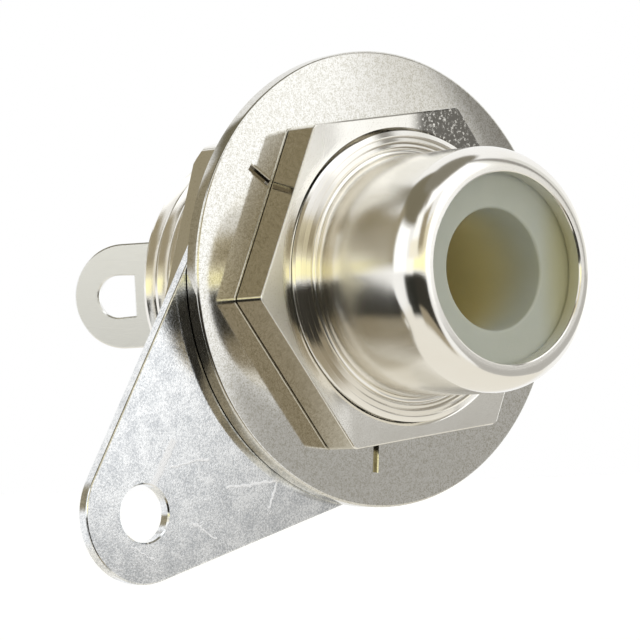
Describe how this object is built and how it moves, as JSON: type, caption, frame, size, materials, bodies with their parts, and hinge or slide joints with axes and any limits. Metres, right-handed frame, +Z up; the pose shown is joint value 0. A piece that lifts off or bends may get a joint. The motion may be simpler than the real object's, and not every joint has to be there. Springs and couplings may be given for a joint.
{
  "type": "phono panel socket",
  "caption": "Metal panel socket for a coaxial phono plug: rounded barrel, threaded body, hexagon nuts, flat washer, ground lug and a bent solder tab.",
  "frame": {"origin": "on the socket's axis, in the plane of the flat washer's back, where the front face of a panel meets it", "axes": "-Y out of the mouth along the socket's axis, +Y to the solder tab, +Z up, +X to the right seen from the mouth"},
  "size_m": [0.0201, 0.0183, 0.0181],
  "materials": {
    "shell_plate": "bright nickel plate over turned brass",
    "nylon": "natural moulded nylon, slightly translucent",
    "rear_board": "pressed laminate",
    "contact_plate": "tin plate over spring brass",
    "tinned_tab": "matt tin plate over brass sheet",
    "washer_plate": "nickel plate with fine mottling",
    "nut_plate": "nickel plate, bright flats",
    "tinned_lug": "spangled tin plate with fine scratches",
    "rear_nut_plate": "nickel plate"
  },
  "bodies": {
    "socket": {"shell": "shell_plate", "insulator": "nylon", "rear_insulator": "rear_board", "centre_contact": "contact_plate", "solder_tab": "tinned_tab"},
    "washer": {"flat_washer": "washer_plate"},
    "nut": {"front_nut": "nut_plate"},
    "lug": {"ground_lug": "tinned_lug"},
    "back_nut": {"rear_nut": "rear_nut_plate"}
  },
  "joints": [
    {"name": "washer_slide", "type": "slide", "parent": "socket", "child": "washer", "axis": [0, -1, 0], "range_m": [0, 0.00171]},
    {"name": "front_nut_spin", "type": "hinge", "parent": "washer", "child": "nut", "pos_m": [0, 0, 0], "axis": [0, -1, 0], "range_deg": [0, 880]},
    {"name": "lug_slide", "type": "slide", "parent": "socket", "child": "lug", "axis": [0, 1, 0], "range_m": [0, 0.00628]},
    {"name": "rear_nut_spin", "type": "hinge", "parent": "lug", "child": "back_nut", "pos_m": [0, 0, 0], "axis": [0, 1, 0], "range_deg": [0, 3230]}
  ],
  "couplings": [
    {"joint": "front_nut_spin", "follows": "washer_slide", "rad_per_m": 8976},
    {"joint": "rear_nut_spin", "follows": "lug_slide", "rad_per_m": 8976}
  ]
}
